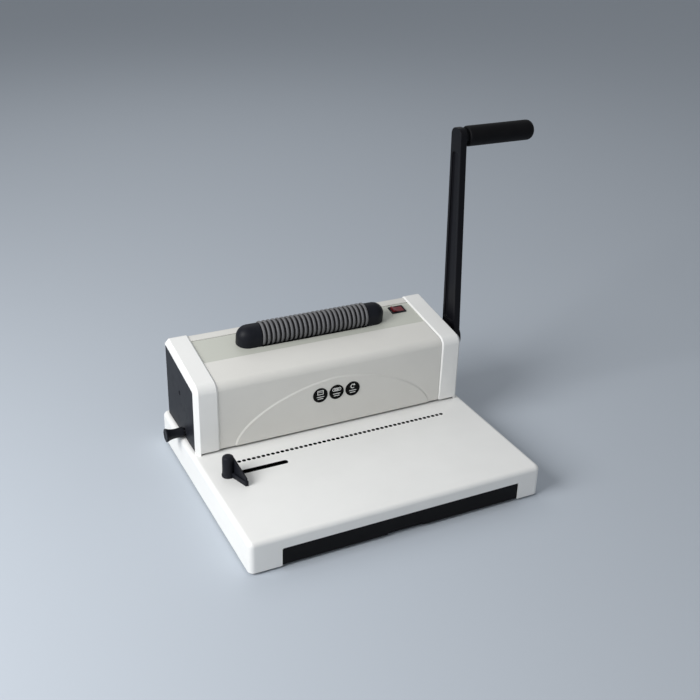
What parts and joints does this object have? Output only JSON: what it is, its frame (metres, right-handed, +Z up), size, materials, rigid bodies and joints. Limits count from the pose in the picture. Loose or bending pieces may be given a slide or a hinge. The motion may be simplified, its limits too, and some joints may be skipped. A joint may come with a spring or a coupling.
{
  "type": "coil binding machine",
  "caption": "Desk machine with a pull lever that punches a row of round holes along a sheet's edge, and a motor-driven ribbed roller that feeds a plastic coil through them.",
  "frame": {"origin": "middle of the machine's overall box on the desk, where the rubber feet stand", "axes": "+X along the row of holes towards the lever, +Y from the front edge to the back, +Z up"},
  "size_m": [0.513, 0.31, 0.394],
  "materials": {
    "shell_white": "satin moulded cream white",
    "panel_grey": "warm light grey, fine satin",
    "black_plastic": "black, fine grain",
    "badge_black": "smooth black",
    "drawer_grey": "dark grey, fine grain",
    "lever_paint": "black satin powder coat",
    "grip_rubber": "soft black grip",
    "ring_rubber": "matt grey ribs",
    "sleeve_dark": "black ground between the ribs",
    "foot_rubber": "matt black",
    "belt_rubber": "matt black",
    "wire_sleeve": "red insulation",
    "rocker_red": "dark red, glossy",
    "frame_steel": "zinc-plated sheet",
    "tool_steel": "ground tool steel",
    "shaft_steel": "turned bright steel",
    "fastener_zinc": "zinc-plated",
    "bush_bronze": "sintered bronze",
    "motor_case": "grey steel can",
    "pulley_nylon": "natural nylon"
  },
  "bodies": {
    "machine": {"base_cover": "shell_white", "body_cover": "shell_white", "left_cap": "shell_white", "right_cap": "shell_white", "top_panel": "panel_grey", "left_side_panel": "black_plastic", "right_side_panel": "black_plastic", "rear_cover": "black_plastic", "roller_block_left": "black_plastic", "roller_block_right": "black_plastic", "switch_body": "black_plastic", "power_inlet": "black_plastic", "front_badges": "badge_black", "rubber_feet": "foot_rubber", "drive_belt": "belt_rubber", "inner_wires": "wire_sleeve", "left_frame": "frame_steel", "right_frame": "frame_steel", "tie_bar": "frame_steel", "base_plate": "frame_steel", "drawer_rails": "frame_steel", "motor_bracket": "frame_steel", "die_plate": "tool_steel", "guide_plate": "tool_steel", "guide_posts": "shaft_steel", "base_screws": "fastener_zinc", "frame_foot_bolts": "fastener_zinc", "frame_bolts": "fastener_zinc", "cap_screws": "fastener_zinc", "rear_screws": "fastener_zinc", "block_screws": "fastener_zinc", "motor_screws": "fastener_zinc", "return_springs": "fastener_zinc", "shaft_bushes": "bush_bronze", "motor": "motor_case"},
    "lever": {"drive_shaft": "shaft_steel", "punch_cams": "tool_steel", "shaft_collars": "shaft_steel", "lever_arm": "lever_paint", "lever_bolt": "fastener_zinc", "grip_rod": "shaft_steel", "lever_grip": "grip_rubber"},
    "punch": {"punch_bar": "tool_steel", "press_plate": "tool_steel", "punch_pins": "tool_steel", "punch_screws": "fastener_zinc"},
    "drawer": {"chip_drawer": "drawer_grey"},
    "margin": {"margin_shaft": "shaft_steel", "margin_knob": "black_plastic"},
    "backstop": {"backstop_bar": "frame_steel"},
    "guide": {"edge_guide": "black_plastic", "guide_clamp": "fastener_zinc"},
    "roller": {"roller_shaft": "shaft_steel", "roller_sleeve": "sleeve_dark", "roller_rings": "ring_rubber", "roller_pulley": "pulley_nylon"},
    "rotor": {"motor_shaft": "shaft_steel", "motor_pulley": "pulley_nylon"},
    "rocker": {"switch_rocker": "rocker_red"}
  },
  "joints": [
    {"name": "lever_pull", "type": "hinge", "parent": "machine", "child": "lever", "pos_m": [0.1405, 0.0795, 0.112], "axis": [1, 0, 0], "range_deg": [0, 85]},
    {"name": "punch_stroke", "type": "slide", "parent": "machine", "child": "punch", "axis": [0, 0, -1], "range_m": [0, 0.008], "stiffness_N_per_m": 3000, "springref_m": -0.01, "deforming": ["return_springs"]},
    {"name": "drawer_slide", "type": "slide", "parent": "machine", "child": "drawer", "axis": [0, -1, 0], "range_m": [0, 0.2]},
    {"name": "margin_turn", "type": "hinge", "parent": "machine", "child": "margin", "pos_m": [-0.2445, 0.081, 0.0495], "axis": [1, 0, 0], "range_deg": [-60, 60]},
    {"name": "backstop_shift", "type": "slide", "parent": "machine", "child": "backstop", "axis": [0, -1, 0], "range_m": [-0.0012, 0.0012]},
    {"name": "guide_slide", "type": "slide", "parent": "machine", "child": "guide", "axis": [1, 0, 0], "range_m": [0, 0.065]},
    {"name": "roller_spin", "type": "hinge", "parent": "machine", "child": "roller", "pos_m": [-0.048, 0.10499, 0.15305], "axis": [1, 0, 0], "continuous": true},
    {"name": "motor_spin", "type": "hinge", "parent": "machine", "child": "rotor", "pos_m": [0.0305, 0.1085, 0.11], "axis": [1, 0, 0], "continuous": true},
    {"name": "rocker_tip", "type": "hinge", "parent": "machine", "child": "rocker", "pos_m": [0.0825, 0.11633, 0.14364], "axis": [0, -0.9887, -0.1498], "range_deg": [0, 20]}
  ],
  "couplings": [
    {"joint": "punch_stroke", "follows": "lever_pull", "m_per_rad": 0.0053925},
    {"joint": "margin_turn", "follows": "backstop_shift", "rad_per_m": 806.13},
    {"joint": "motor_spin", "follows": "roller_spin", "ratio": 1}
  ]
}
